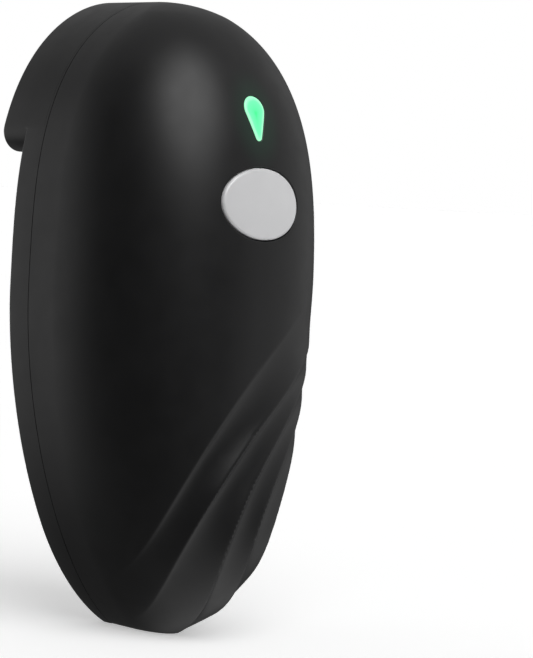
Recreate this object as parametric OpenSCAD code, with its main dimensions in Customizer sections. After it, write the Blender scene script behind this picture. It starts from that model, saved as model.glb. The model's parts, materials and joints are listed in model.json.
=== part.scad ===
// Cordless one-touch electric can opener, standing on the flat foot at its tail.
// +Z runs up the body to the head, -Y is the domed face with the button, +Y is the deck that lies on a can.
// The origin is on the standing surface, under the middle of the body. All sizes are in millimetres.

/* [Casing] */
// Height, from the foot to the crown of the head
body_h = 183.6; // [180:0.2:230]
// Width at the widest place
body_w = 84.6; // [80:0.2:104]
// Depth of the front shell, from the seam to the highest part of the dome
dome_d = 53; // [51:0.5:66]
// Depth of the rear shell, from the seam to the deck
deck_d = 9.2; // [8:0.1:12]
// How far the lip stands out behind the deck
lip_d = 11.2; // [10.5:0.1:16]
// Length of the lip, from the crown of the head down to its edge
lip_len = 46; // [44:0.5:60]
// Radius of the lip's two lower corners
lip_r = 6; // [2:0.5:10]
// Wall of the rear shell and of the front shell's sides
wall = 2.4; // [1.6:0.1:3]
// Wall of the dome, which carries the flutes
dome_wall = 3.2; // [2.6:0.1:4]
// Straight side band of the front shell, beside the seam
band_d = 11; // [6:0.5:16]
// Greatest depth of a flute
flute_max = 1.7; // [0:0.1:2]

/* [Button and lamp] */
// Width of the oval button
button_w = 28.2; // [20:0.2:34]
// Height of the oval button
button_h = 20.2; // [14:0.2:25]
// Middle of the button, down from the crown of the head
button_drop = 57.2; // [54:0.2:62]
// Travel of the button
button_travel = 1.2; // [0.6:0.1:1.6]
// Gap around the button
button_gap = 0.3; // [0.2:0.05:0.6]
// Length of the drop-shaped lamp
lamp_h = 12.5; // [9:0.1:15]
// Width of the lamp's round end
lamp_w = 7.2; // [5:0.1:9]
// Round end of the lamp, down from the crown of the head
lamp_drop = 30.6; // [28:0.2:33]

/* [Cutting head] */
// Drive wheel's axis, down from the crown of the head
drive_drop = 61; // [58:0.5:64]
// Radius of the serrated drive wheel
drive_r = 7.5; // [5.5:0.1:8]
// Radius of the cutting wheel
cutter_r = 8; // [6:0.1:9]
// Free gap between the two wheels for a can's rim
rim_gap = 6.8; // [5:0.1:8]
// Swing of the cutter arm from open to cutting
arm_swing = 20; // [10:1:20]
// Radius of the drive shaft
shaft_r = 3; // [2.5:0.1:3.5]
// Radial clearance of a shaft that turns in a hole
run = 0.04; // [0.02:0.01:0.08]

/* [Gear train] */
// Module of the last gear pair
module_4 = 1; // [0.8:0.05:1.1]
// Module of the third gear pair
module_3 = 0.8; // [0.6:0.05:0.9]
// Module of the second gear pair
module_2 = 0.6; // [0.5:0.05:0.7]
// Module of the first gear pair, at the motor
module_1 = 0.5; // [0.4:0.05:0.6]
// Teeth of every pinion
pinion_n = 12; // [12:1:14]
// Radius of the fixed axles
axle_r = 1.5; // [1.2:0.1:2]

/* [Power] */
// Diameter of the motor can
motor_dia = 24.4; // [20:0.1:30]
// Length of the motor can
motor_l = 31; // [24:0.5:34]
// Diameter of the rechargeable cell
cell_dia = 18.3; // [14:0.1:22]
// Length of the rechargeable cell
cell_l = 65; // [48:0.5:66]

/* [Hidden] */
$fn = 48;

black = [0.10, 0.10, 0.11];
dark = [0.17, 0.17, 0.18];
steel = [0.72, 0.73, 0.75];
brass = [0.79, 0.64, 0.33];
white_plastic = [0.88, 0.88, 0.85];

// ---- Depths: the seam plane is set so that the body's depth is centred on the origin
seam_y = (dome_d - deck_d - lip_d) / 2;
deck_y = seam_y + deck_d;
deck_in_y = deck_y - wall;
lip_y = deck_y + lip_d;

// ---- Casing outline. Each is a blunt curve on either side of its widest height
plan_peak = 0.547;
dome_peak = 0.40;
plan_power = 2.35;
dome_power = 1.85;
tail_cut = 2.4;
tail_h = 24;
tail_fill = 1.6;
tail_rise = 30;
tail_lift = 0.8;
ring_count = 44;
arc_count = 28;
core_rings = 20;
core_arcs = 16;

// Share of full size at height share t, with its peak at tm and its own powers above and below it
function bulge(t, tm, p1, q1, p2, q2) =
    t >= tm ? pow(max(0, 1 - pow((t - tm) / (1 - tm), p1)), 1 / q1)
            : pow(max(0, 1 - pow((tm - t) / tm, p2)), 1 / q2);
// Height share of z: the curve's own tip is cut off below the foot, and the tail above it can be filled out
function share(z, fill, h) = min(1, (z + tail_cut + fill * pow(max(0, 1 - z / tail_h), 2)) / (h + tail_cut));
function plan_bulge(t) = bulge(t, plan_peak, 3.17, 1.8, 1.81, 1.53);
function dome_bulge(t) = bulge(t, dome_peak, 3.4, 2.5, 4.6, 1.72);
function half_w(z) = body_w / 2 * plan_bulge(share(z, 0, body_h));
function dome_h(z) = dome_d * dome_bulge(share(z, tail_fill, body_h));
function deck_at(z) = deck_d * sqrt(1 - tail_lift * pow(max(0, 1 - z / tail_rise), 2));
// The hollow inside has the same form, smaller by the walls
core_h = body_h - 2 * wall;
function core_w(z) = (body_w / 2 - wall) * plan_bulge(share(z - wall, 0, core_h));
function core_d(z) = (dome_d - dome_wall) * dome_bulge(share(z - wall, tail_fill, core_h));

// Depth in front of the seam at x, on a section of half width a and height h
function arch(x, a, h) =
    let(b = min(band_d, h / 2), c = pow(min(1, abs(x) / max(a, 0.01)), plan_power / 2))
    b + (h - b) * pow(sqrt(1 - c * c), 2 / dome_power);
function skin_y(x, z) = seam_y - arch(x, half_w(z), dome_h(z));
function core_y(x, z) = seam_y - arch(x, core_w(z), core_d(z));
// Half width of the hollow at depth y
function core_x(y, z) =
    let(h = core_d(z), b = min(band_d, h / 2), s = max(0, (seam_y - y - b) / (h - b)))
    core_w(z) * pow(sqrt(max(0, 1 - pow(s, dome_power))), 2 / plan_power);

// ---- Flutes: scallops between ridges that sweep from the foot of the left side up to the right side.
// A ridge is a parabola in x over z: its own place of turn, and its curvature
ridge_x = [-22, -16.1, -5.8, 3.4, 12.8, 23];
ridge_z = [31.6, 26, 24, 24, 24, 24];
ridge_c = [0.0095, 0.0127, 0.0118, 0.0120, 0.0125, 0.0130];
last_ridge = len(ridge_x) - 1;
hook_z = 12.6;
hook_slope = 3;
flute_top = 116;
flute_full = 58;
flute_share = 0.16;
flute_keep = 0.25;
function smooth(x) = let(s = max(0, min(1, x))) s * s * (3 - 2 * s);
function ridge(k, z) =
    ridge_x[k] + ridge_c[k] * pow(z - ridge_z[k], 2) - (k == 0 ? hook_slope * max(0, hook_z - z) : 0);
function scallop(x, x0, x1) = 4 * (x - x0) * (x1 - x) / pow(x1 - x0, 2);
// Depth of the flutes at x, z before they fade towards the sides
function flute(x, z) =
    let(in = [for (k = [0:last_ridge - 1]) if (x > ridge(k, z) && x <= ridge(k + 1, z)) k])
    len(in) == 0 ? 0 :
    let(k = in[0], x0 = ridge(k, z), x1 = ridge(k + 1, z),
        lean = 2 * ridge_c[k] * max(0, z - ridge_z[k]),
        depth = min(flute_max, flute_share * (x1 - x0) / sqrt(1 + lean * lean)))
    depth * scallop(x, x0, x1) * smooth((flute_top - z) / (flute_top - flute_full));

// ---- Cutting head places, x then z
head_z = body_h - drive_drop;
drive_xz = [0, head_z];
cutter_xz = [0, head_z + drive_r + rim_gap + cutter_r];
arm_reach = [17, 3.7];
pivot_xz = [cutter_xz[0] + arm_reach[0], cutter_xz[1] + arm_reach[1]];
lip_z = body_h - lip_len;
arm_y = deck_y + 0.8;
arm_t = 2;
blade_gap = 0.3;
hub_t = 2.6;
pivot_r = 1.5;
pivot_seat_r = 2.5;
pivot_head_r = 4;
pivot_boss_r = 4.5;
arm_pin_r = 2;
pocket_x = [-12, 27];
pocket_top = pivot_xz[1] + 11;
pocket_back = 2;
window_r = 13;

// ---- Gear train places. Each pair's pinion and gear share a centre distance with a little slack
gear_n = [40, 36, 36, 30];
modules = [module_1, module_2, module_3, module_4];
mesh_slack = 0.05;
tooth_slack = 0.1;
addendum = 0.75;
dedendum = 1.0;
pressure = 20;
function reach(i) = modules[i] * (pinion_n + gear_n[i]) / 2 + mesh_slack;
function step_to(p, r, a) = [p[0] + r * cos(a), p[1] + r * sin(a)];
// Direction from each gear's axis to the axis of the pinion that drives it
train_a = [190, -51, -8, 228];
third_xz = step_to(drive_xz, reach(3), train_a[3]);
second_xz = step_to(third_xz, reach(2), train_a[2]);
first_xz = step_to(second_xz, reach(1), train_a[1]);
motor_xz = step_to(first_xz, reach(0), train_a[0]);

// ---- Gearbox depths, from the deck inwards
plate_t = 1.8;
base_y = deck_in_y;
base_top = base_y - plate_t;
layer_gap = 0.6;
face_w = [3, 3, 3.4, 4];
play = 0.3;
layer_4 = base_top - play - 0.2;
layer_3 = layer_4 - face_w[3] - layer_gap;
layer_2 = layer_3 - face_w[2] - layer_gap;
layer_1 = layer_2 - face_w[1] - layer_gap;
cover_y = layer_1 - face_w[0] - 2.3;
motor_y = cover_y - plate_t;
hub_r = axle_r + 1;
pillar_r = 2.5;
pillars = [
    [drive_xz[0] - 16.5, head_z + 11], [drive_xz[0] + 17.5, head_z + 10],
    [first_xz[0] + 12, first_xz[1] + 12.5], [third_xz[0] - 3.4, third_xz[1] - 23.4]
];

// ---- Board, switch and lamp
board_t = 1.6;
board_y = seam_y - 34.3;
board_front = board_y - board_t;
button_z = body_h - button_drop;
cap_y = skin_y(0, button_z) - 0.2;
flange_w = 1.2;
flange_t = 1.2;
flange_y = core_y(button_w / 2 + flange_w, button_z) + 0.7;
stem_r = 2.5;
switch_w = 6;
switch_t = 3.5;
plunger_r = 1.7;
plunger_fit = 0.1;
lamp_z = body_h - lamp_drop;
lamp_tip_r = 1.1;
lamp_fit = 0.05;
lamp_proud = 0.1;
lamp_chip_t = 1.9;
lamp_tip_z = lamp_z + lamp_w / 2 - lamp_h + lamp_tip_r;
post_z = button_z - button_h / 2 - 4.2;
board_posts = [[-10, post_z], [10, post_z], [8.5, lamp_z - 8.5]];
post_r = 2.3;
board_screw_r = 0.95;
board_low = button_z - button_h / 2 - 8.5;
board_high = lamp_z + 4.5;
board_w = 26;
board_corner = 6;
inner_gap = 0.5;
board_top = min(board_w / 2, core_x(board_front, board_high) - inner_gap);

// ---- Battery below the motor
cell_y = seam_y - 13.3;
cell_top = motor_xz[1] - motor_dia / 2 - 2.4;
cell_z = cell_top - cell_l;
tray_wall = 1.6;
tray_y = cell_y + cell_dia / 2 + 0.2;
ear_x = cell_dia / 2 + 5;
ear_z = cell_z + 0.62 * cell_l;
tray_ears = [[-ear_x, ear_z], [ear_x, ear_z]];
tray_rail = 8;
ear_boss_r = 3;
ear_screw_r = 1;
cell_fit = 0.2;

// ---- Screws
case_posts = [[-34.3, head_z - 25], [34.3, head_z - 25], [-20.5, 44], [20.5, 44]];
case_post_r = 3.4;
screw_r = 1.25;
head_r = 2.6;
head_t = 1.6;
clear_r = screw_r + 0.35;
thread_gap = 0.05;
sink_gap = 0.3;
case_hole = 13;
case_screw_in = 10;
box_screw_r = 0.9;
box_hole_r = 0.95;
case_head_y = deck_y - 0.4;

// ---- Magnet, charging socket, wear plate
magnet_r = 7;
magnet_t = 3;
magnet_wall = 1.6;
magnet_xz = [0, head_z - 52];
socket_z = 60;
socket = [7.3, 3.2, 8.9];
socket_y = seam_y + deck_d / 2 - 0.6;
plate_x = 21;
wear_t = 0.8;
wear_low = head_z - 15;
wear_screws = [[pillars[0][0], pillars[0][1]], [pillars[1][0], pillars[1][1]], [0, wear_low + 4.5]];
bush_r = 5;
press = 0.02;
seat_gap = 0.1;
slot_gap = 0.2;

// ================= shared shapes =================

// Puts a flat x-z drawing in the model, filling depths y0 to y1
module slab(y0, y1) {
    translate([0, y1, 0]) rotate([90, 0, 0]) linear_extrude(y1 - y0) children();
}
// A round bar along Y at x-z place p
module bar(p, r, y0, y1) {
    translate([p[0], y1, p[1]]) rotate([90, 0, 0]) cylinder(r = r, h = y1 - y0);
}
// A screw along Y: its head's outer face at y, its shank towards smaller y
module screw(p, y, l, r = screw_r, hr = head_r, ht = head_t) {
    difference() {
        union() {
            bar(p, hr, y - ht, y);
            bar(p, r, y - ht - l, y - ht + 0.1);
        }
        for (a = [45, 135])
            translate([p[0], y, p[1]]) rotate([0, a, 0]) cube([hr * 1.3, ht, hr * 0.3], center = true);
    }
}
// The same screw put in from the front
module screw_front(p, y, l, r = screw_r, hr = head_r, ht = head_t) {
    mirror([0, 1, 0]) screw(p, -y, l, r, hr, ht);
}

// Angle that an involute from base radius rb has turned at radius r
function unwound(rb, r) = let(q = sqrt(max(0, pow(r / rb, 2) - 1))) q * 180 / PI - atan(q);
// Outline of a spur gear with module m and n teeth, one tooth on the first axis
function gear_outline(m, n) =
    let(rp = m * n / 2, rb = rp * cos(pressure), ra = rp + addendum * m, rr = rp - dedendum * m,
        half = 90 / n - tooth_slack * m / 2 / rp * 180 / PI + unwound(rb, rp),
        r0 = max(rb, rr),
        rise = concat(rr < rb ? [rr] : [], [for (k = [0:3]) r0 + (ra - r0) * k / 3]),
        last = len(rise) - 1)
    [for (i = [0:n - 1])
        for (side = [-1, 1])
            for (j = [0:last])
                let(r = rise[side < 0 ? j : last - j], a = i * 360 / n + side * (half - unwound(rb, r)))
                [r * cos(a), r * sin(a)]];
// A spur gear at p, from depth y0 for width w, turned by a
module spur(m, n, p, y0, w, a) {
    translate([p[0], y0 + w, p[1]]) rotate([90, 0, 0]) rotate(a)
        linear_extrude(w) polygon(gear_outline(m, n));
}
// Turn of gear i so that a gap faces its pinion, and of that pinion so that a tooth faces the gear
function gear_turn(i) = train_a[i] + 180 / gear_n[i];
function pinion_turn(i) = train_a[i] + 180;

function ellipse(w, h, n = 48) = [for (i = [0:n - 1]) [w / 2 * cos(360 * i / n), h / 2 * sin(360 * i / n)]];

// ================= casing =================

// Heights of the outline's corners, closer together at both ends
function ring_z(i, n, h) = h * (1 - cos(180 * i / n)) / 2;
function edge_z(i) = ring_z(i, ring_count, body_h);

// One section of a dome, from the left side of the seam round the front to the right side
function section(z, a, h, n, back) =
    let(b = min(band_d, h / 2))
    concat([[-a, seam_y + back, z]],
        [for (j = [0:n]) let(c = -cos(180 * j / n), s = sin(180 * j / n))
            [a * sign(c) * pow(abs(c), 2 / plan_power), seam_y - b - (h - b) * pow(s, 2 / dome_power), z]],
        [[a, seam_y + back, z]]);
// Pushes a skin point in by the flutes, which fade out beside the side band
function fluted(p) =
    let(h = dome_h(p[2]), b = min(band_d, h / 2), up = (seam_y - p[1] - b) / max(h - b, 0.01),
        f = flute(p[0], p[2]) * smooth(up / flute_keep))
    [p[0], p[1] + f, p[2]];

// A closed solid through a stack of sections with the same number of points
module loft(rings) {
    m = len(rings[0]);
    n = len(rings);
    polyhedron(
        points = [for (r = rings) each r],
        faces = concat(
            [[for (j = [0:m - 1]) j]],
            [for (i = [0:n - 2]) for (j = [0:m - 1]) let(a = i * m + j, b = i * m + (j + 1) % m) each
                [[a, a + m, b + m], [a, b + m, b]]],
            [[for (j = [m - 1:-1:0]) (n - 1) * m + j]]),
        convexity = 4);
}
// The crown is a very small section, not a point
crown = 0.02;
least_w = 0.3;
least_d = 0.6;
module front_outer() {
    loft([for (i = [0:ring_count]) let(z = min(edge_z(i), body_h - crown))
        [for (p = section(z, max(half_w(z), least_w), max(dome_h(z), least_d), arc_count, 0)) fluted(p)]]);
}
module front_core() {
    loft([for (i = [0:core_rings])
        let(z = min(wall + ring_z(i, core_rings, core_h), body_h - wall - crown))
        section(z, max(core_w(z), least_w), max(core_d(z), least_d), core_arcs, 1)]);
}

module lamp_shape(grow = 0) {
    hull() {
        translate([0, lamp_z]) circle(r = lamp_w / 2 + grow);
        translate([0, lamp_tip_z]) circle(r = lamp_tip_r + grow);
    }
}

// The shell has no bore that anything is fitted to, so it is finished as one mesh
module front_shell() {
    color(black) resize([0, 0, 0]) {
        difference() {
            front_outer();
            difference() {
                front_core();
                for (p = case_posts) bar(p, case_post_r, seam_y - dome_d, seam_y);
                for (p = board_posts) bar(p, post_r, seam_y - dome_d, board_front);
            }
            for (p = case_posts) bar(p, screw_r + thread_gap, seam_y - case_hole, seam_y + 1, $fn = 24);
            for (p = board_posts)
                bar(p, board_screw_r + thread_gap, board_front - 6, board_front + 1, $fn = 24);
            slab(seam_y - dome_d - 1, flange_y) translate([0, button_z])
                polygon(ellipse(button_w + 2 * button_gap, button_h + 2 * button_gap));
            slab(seam_y - dome_d - 1, board_front - 2) lamp_shape(lamp_fit);
        }
    }
}

// Right half of the outline up the side, then the left half down
module outline() {
    polygon(concat([for (i = [0:ring_count]) [max(half_w(edge_z(i)), least_w), edge_z(i)]],
        [for (i = [ring_count:-1:0]) [-max(half_w(edge_z(i)), least_w), edge_z(i)]]));
}
// Side view of the rear shell, drawn in by t from the deck
module rear_side(t) {
    zs = [for (i = [0:8]) tail_rise * i / 8];
    rotate([90, 0, 90]) linear_extrude(2 * body_w, center = true)
        polygon(concat([[seam_y - 5, -1]], [for (z = zs) [seam_y + deck_at(z) - t, z == 0 ? -1 : z]],
            [[deck_y - t, body_h + 1], [seam_y - 5, body_h + 1]]));
}
module lip_outline() {
    offset(r = lip_r) offset(delta = -lip_r) intersection() {
        outline();
        translate([-body_w, lip_z]) square([2 * body_w, lip_len]);
    }
}

module rear_shell() {
    root = 0.5;
    color(black) difference() {
        union() {
            difference() {
                union() {
                    intersection() {
                        slab(seam_y, deck_y) outline();
                        rear_side(0);
                    }
                    slab(deck_y - 1, lip_y) lip_outline();
                }
                // the hollow behind the seam, and the part of the lip above the cutter pocket
                intersection() {
                    slab(seam_y - 1, deck_in_y) offset(delta = -wall) outline();
                    rear_side(wall);
                }
                slab(deck_in_y - 1, lip_y - wall) intersection() {
                    offset(delta = -wall) lip_outline();
                    translate([-body_w, pocket_top + wall]) square([2 * body_w, body_h]);
                }
            }
            for (p = case_posts) bar(p, case_post_r, seam_y, deck_in_y + root);
            for (p = tray_ears) bar(p, ear_boss_r, tray_y + tray_wall, deck_in_y + root);
            bar(pivot_xz, pivot_boss_r, seam_y, deck_in_y + root);
            bar(magnet_xz, magnet_r + magnet_wall, deck_y - magnet_t - magnet_wall, deck_in_y + root);
        }
        // cutter pocket, open at the lip's edge, and the half-round window in its back
        slab(deck_y, lip_y - pocket_back) translate([pocket_x[0], lip_z - 1])
            square([pocket_x[1] - pocket_x[0], pocket_top - lip_z + 1]);
        bar([0, lip_z], window_r, deck_y, lip_y + 1);
        // wear plate's seat, with the holes through it
        slab(deck_y - wear_t, deck_y + 1) translate([-plate_x - seat_gap, wear_low - seat_gap])
            square([2 * (plate_x + seat_gap), lip_z - wear_low]);
        bar(drive_xz, bush_r + press, deck_in_y - 1, deck_y + 1);
        for (p = wear_screws) bar(p, clear_r, deck_in_y - 1, deck_y);
        for (p = case_posts) {
            bar(p, clear_r, seam_y - 1, deck_y);
            bar(p, head_r + sink_gap, case_head_y - head_t, deck_y + 1);
        }
        for (p = tray_ears) bar(p, ear_screw_r + thread_gap, tray_y, tray_y + 6);
        bar(pivot_xz, pivot_r + press, seam_y - 1, deck_y + 1);
        bar(magnet_xz, magnet_r + thread_gap, deck_y - magnet_t, deck_y + 1);
        // slot for the charging plug, through the right wall
        translate([body_w / 2 - 15, socket_y - socket[1] / 2 - slot_gap, socket_z - socket[2] / 2 - slot_gap])
            cube([20, socket[1] + 2 * slot_gap, socket[2] + 2 * slot_gap]);
    }
}

module case_screws() {
    color(steel) for (p = case_posts) screw(p, case_head_y, case_head_y - head_t - seam_y + case_screw_in);
}
module wear_plate() {
    color(steel) difference() {
        slab(deck_y - wear_t, deck_y) translate([-plate_x, wear_low])
            square([2 * plate_x, lip_z - wear_low - 2 * seat_gap]);
        bar(drive_xz, bush_r + 0.6, deck_y - 2, deck_y + 1);
        for (p = wear_screws) bar(p, head_r + 0.05, deck_y - 2, deck_y + 1);
    }
}
// Flush heads, down through the deck into the gearbox
module plate_screws() {
    short = wall - wear_t + plate_t - 0.2;
    color(steel) for (p = wear_screws) screw(p, deck_y, p[0] == 0 ? short : 6, r = 1.2, ht = wear_t);
}
module lid_magnet() {
    color(steel) bar(magnet_xz, magnet_r, deck_y - magnet_t, deck_y);
}

// ================= button, lamp and board =================

cap_arch_r = 50;
// Slope of the dome over the button's height
cap_lean = atan((skin_y(0, button_z + button_h / 2) - skin_y(0, button_z - button_h / 2)) / button_h);
module button_cap() {
    color([0.82, 0.82, 0.84]) {
        intersection() {
            slab(cap_y - 3, flange_y + flange_t) translate([0, button_z])
                polygon(ellipse(button_w, button_h));
            translate([0, cap_y, button_z]) rotate([-cap_lean, 0, 0]) translate([0, cap_arch_r, -button_h])
                cylinder(r = cap_arch_r, h = 2 * button_h, $fn = 200);
        }
        slab(flange_y, flange_y + flange_t) translate([0, button_z])
            polygon(ellipse(button_w + 2 * flange_w, button_h + 2 * flange_w));
        bar([0, button_z], stem_r, flange_y, board_front - switch_t - 1.4);
    }
}
module switch_plunger() {
    color(dark) bar([0, button_z], plunger_r, board_front - switch_t - 1.4, board_front - switch_t + 1.1);
}
module tact_switch() {
    color(steel) difference() {
        slab(board_front - switch_t, board_front) translate([0, button_z]) square(switch_w, center = true);
        bar([0, button_z], plunger_r + plunger_fit, board_front - switch_t - 1, board_front - 0.8);
    }
}
// Height of the lamp's face follows the slope of the dome
module led_lens() {
    top_z = lamp_z + lamp_w / 2;
    low_z = lamp_tip_z - lamp_tip_r;
    face = [for (z = [top_z, (low_z + top_z) / 2]) [skin_y(0, z) - lamp_proud, z]];
    color([0.35, 0.95, 0.55]) intersection() {
        slab(seam_y - dome_d - 1, board_front - 2.4) lamp_shape();
        rotate([90, 0, 90]) linear_extrude(2 * lamp_w, center = true) polygon([
            [skin_y(0, low_z) - lamp_proud, low_z], [board_front, low_z], [board_front, top_z], each face]);
    }
}
module led_chip() {
    color(white_plastic) slab(board_front - lamp_chip_t, board_front)
        translate([-1.75, lamp_z - 4]) square([3.5, 2.8]);
}
module control_board() {
    color([0.10, 0.38, 0.20]) difference() {
        // its upper corners keep clear of the dome
        slab(board_front, board_y) hull() {
            translate([-board_w / 2, board_low]) square([board_w, board_high - board_corner - board_low]);
            translate([-board_top, board_high - 1]) square([2 * board_top, 1]);
        }
        for (p = board_posts) bar(p, 1.3, board_front - 1, board_y + 1);
    }
    // controller chip and charging coil on the back
    color(dark) slab(board_y, board_y + 1.2) translate([-4, button_z - 4]) square([8, 8]);
    color(dark) bar([-6, board_low + 14], 3, board_y, board_y + 3);
}
module board_screws() {
    color(steel) for (p = board_posts) screw(p, board_y + 1.4, 5, r = board_screw_r, hr = 2, ht = 1.4);
}

// ================= power =================

module battery_cell() {
    color([0.16, 0.42, 0.72]) translate([0, cell_y, cell_z]) {
        cylinder(d = cell_dia, h = cell_l - 0.8);
        cylinder(d = cell_dia * 0.35, h = cell_l);
    }
}
module battery_tray() {
    w = cell_dia + 2 * cell_fit;
    low = cell_z - cell_fit - 0.6 - tray_wall;
    high = cell_top + cell_fit + 0.6 + tray_wall;
    side = w / 2 + tray_wall;
    foot = min(side, core_w(low) - inner_gap);
    color(dark) difference() {
        union() {
            // the lower corners keep clear of the tapering sides
            slab(tray_y, tray_y + tray_wall) hull() {
                translate([-foot, low]) square([2 * foot, 1]);
                translate([-side, low + tray_rail]) square([2 * side, high - low - tray_rail]);
            }
            for (z = [low, high - tray_wall])
                translate([-w / 2 + 1.5, cell_y - cell_dia * 0.3, z])
                    cube([w - 3, tray_y - cell_y + cell_dia * 0.3 + 0.5, tray_wall]);
            for (s = [-1, 1]) {
                translate([s * (w / 2 + tray_wall / 2) - tray_wall / 2, cell_y, low + tray_rail])
                    cube([tray_wall, tray_y - cell_y + 0.5, high - low - 2 * tray_rail]);
                slab(tray_y, tray_y + tray_wall) hull() {
                    translate([s * ear_x, ear_z]) circle(r = 3.2);
                    translate([s * w / 2, ear_z]) square([1, 10], center = true);
                }
            }
        }
        for (p = tray_ears) bar(p, 1.3, tray_y - 1, tray_y + 3);
    }
}
// A spring strip at each end of the cell
module battery_contacts() {
    strip_t = 0.35;
    gap = 0.05;
    for (z = [cell_z - gap - strip_t, cell_top + gap])
        color(brass) translate([-3, cell_y - 4, z]) cube([6, 8, strip_t]);
}
module tray_screws() {
    color(steel) for (p = tray_ears) screw_front(p, tray_y - 1.4, 6, r = ear_screw_r, hr = 2, ht = 1.4);
}
socket_out = half_w(socket_z) - 1.2;
module charge_board() {
    high = half_w(socket_z - 8) - wall - 0.8;
    color([0.10, 0.38, 0.20]) translate([high - 11, socket_y - socket[1] / 2 - board_t - 0.05, socket_z - 8])
        cube([11, board_t, 16]);
}
// A metal sleeve, open to the outside, with its tongue
module charge_socket() {
    t = 0.3;
    color(steel) translate([socket_out - socket[0], socket_y, socket_z]) rotate([90, 0, 90]) difference() {
        linear_extrude(socket[0]) offset(r = 1.4) square([socket[1] - 2.8, socket[2] - 2.8], center = true);
        translate([0, 0, 1]) linear_extrude(socket[0])
            offset(r = 1.4 - t) square([socket[1] - 2.8, socket[2] - 2.8], center = true);
    }
    color(dark) translate([socket_out - socket[0] + 0.9, socket_y - 0.35, socket_z - 3.3])
        cube([4.6, 0.7, 6.6]);
}

// ================= motor =================

motor_flat = 0.82;
motor_wall = 1;
motor_back = motor_y - motor_l;
motor_boss_r = 4;
motor_shaft_r = 1;
motor_hole_r = 8;
motor_holes = [for (s = [-1, 1]) motor_xz + [0, s * motor_hole_r]];
armature_r = motor_dia / 2 * motor_flat - motor_wall - 0.6;
magnet_air = 0.4;
// A round bar with two flats, as the can is, drawn in by t
module motor_round(t, y0, y1) {
    intersection() {
        bar(motor_xz, motor_dia / 2 - t, y0, y1);
        slab(y0, y1) translate(motor_xz)
            square([motor_dia * motor_flat - 2 * t, motor_dia + 1], center = true);
    }
}
module motor_can() {
    color(steel) difference() {
        union() {
            motor_round(0, motor_back + 2, motor_y);
            bar(motor_xz, motor_boss_r, motor_y - 0.5, motor_y + 1.5);
        }
        motor_round(motor_wall, motor_back + 1, motor_y - 2);
        bar(motor_xz, motor_shaft_r + run, motor_back, motor_y + 3);
        for (p = motor_holes) bar(p, box_hole_r, motor_y - 3, motor_y + 1);
    }
}
module motor_end_cap() {
    color(dark) difference() {
        union() {
            motor_round(0.4, motor_back, motor_back + 2);
            bar(motor_xz, 3.5, motor_back - 1.5, motor_back + 1);
        }
        bar(motor_xz, motor_shaft_r + run, motor_back - 0.5, motor_y);
    }
    for (s = [-1, 1])
        color(brass) translate([motor_xz[0] + s * 7 - 1.2, motor_back - 1.5, motor_xz[1] - 0.2])
            cube([2.4, 1.6, 0.4]);
}
// The two curved magnets inside the can, above and below the armature
module motor_magnets() {
    color(dark) for (s = [-1, 1]) intersection() {
        difference() {
            motor_round(motor_wall, motor_back + 6, motor_y - 5);
            bar(motor_xz, armature_r + magnet_air, motor_back, motor_y);
        }
        slab(motor_back, motor_y) translate(motor_xz + [0, s * motor_dia / 2])
            square([motor_dia * 0.62, motor_dia * 0.7], center = true);
    }
}
// Three wound poles and the commutator on the shaft
module motor_armature() {
    y0 = motor_back + 7;
    y1 = motor_y - 6;
    color([0.72, 0.42, 0.22]) difference() {
        union() {
            slab(y0, y1) translate(motor_xz) difference() {
                circle(r = armature_r);
                for (a = [30, 150, 270]) rotate(a) translate([armature_r * 0.62, -1]) square([armature_r, 2]);
            }
            bar(motor_xz, 2.6, motor_back + 3, y0 + 0.5);
        }
        bar(motor_xz, motor_shaft_r, motor_back, motor_y);
    }
}
module motor_shaft() {
    color(steel) bar(motor_xz, motor_shaft_r, motor_back - 0.4, layer_1 + 0.2);
}
module motor_pinion() {
    color(brass) difference() {
        spur(module_1, pinion_n, motor_xz, layer_1 - face_w[0] - 0.2, face_w[0] + 0.3, pinion_turn(0));
        bar(motor_xz, motor_shaft_r, layer_1 - 10, layer_1 + 1);
    }
}
module motor_screws() {
    color(steel) for (p = motor_holes) screw(p, cover_y + 1, plate_t + 2, r = box_screw_r, hr = 1.9, ht = 1);
}

// ================= gearbox =================

module gearbox_outline(grow = 0) {
    hull() {
        for (p = pillars) translate(p) circle(r = pillar_r + 1.2 + grow);
        translate(motor_xz) circle(r = 11);
    }
}
module gearbox_base() {
    color(white_plastic) difference() {
        union() {
            slab(base_top, base_y) gearbox_outline();
            for (p = pillars) bar(p, pillar_r, cover_y, base_top + 0.2);
        }
        bar(drive_xz, bush_r + press, base_top - 1, base_y + 1);
        for (p = [first_xz, second_xz, third_xz]) bar(p, axle_r, base_top - 1, base_y + 1);
        for (p = pillars) bar(p, box_hole_r, cover_y - 1, cover_y + 8);
        for (p = [pillars[0], pillars[1]]) bar(p, 1.25, base_top - 4, base_y + 1);
        bar(wear_screws[2], 1.25, base_top - 1, base_y + 1);
    }
}
module gearbox_cover() {
    color(white_plastic) difference() {
        slab(motor_y, cover_y) gearbox_outline();
        bar(drive_xz, shaft_r + run, motor_y - 1, cover_y + 1);
        for (p = [first_xz, second_xz, third_xz]) bar(p, axle_r, motor_y - 1, cover_y + 1);
        for (p = pillars) bar(p, 1.2, motor_y - 1, cover_y + 1);
        bar(motor_xz, motor_boss_r + 0.05, motor_y - 1, cover_y + 1);
        for (p = motor_holes) bar(p, 1.1, motor_y - 1, cover_y + 1);
    }
}
module gearbox_screws() {
    color(steel) for (p = pillars)
        screw_front(p, motor_y - 1.3, plate_t + 5, r = box_screw_r, hr = 2.1, ht = 1.3);
}
module gear_axles() {
    color(steel) for (p = [first_xz, second_xz, third_xz]) bar(p, axle_r, motor_y, base_y);
}
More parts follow.
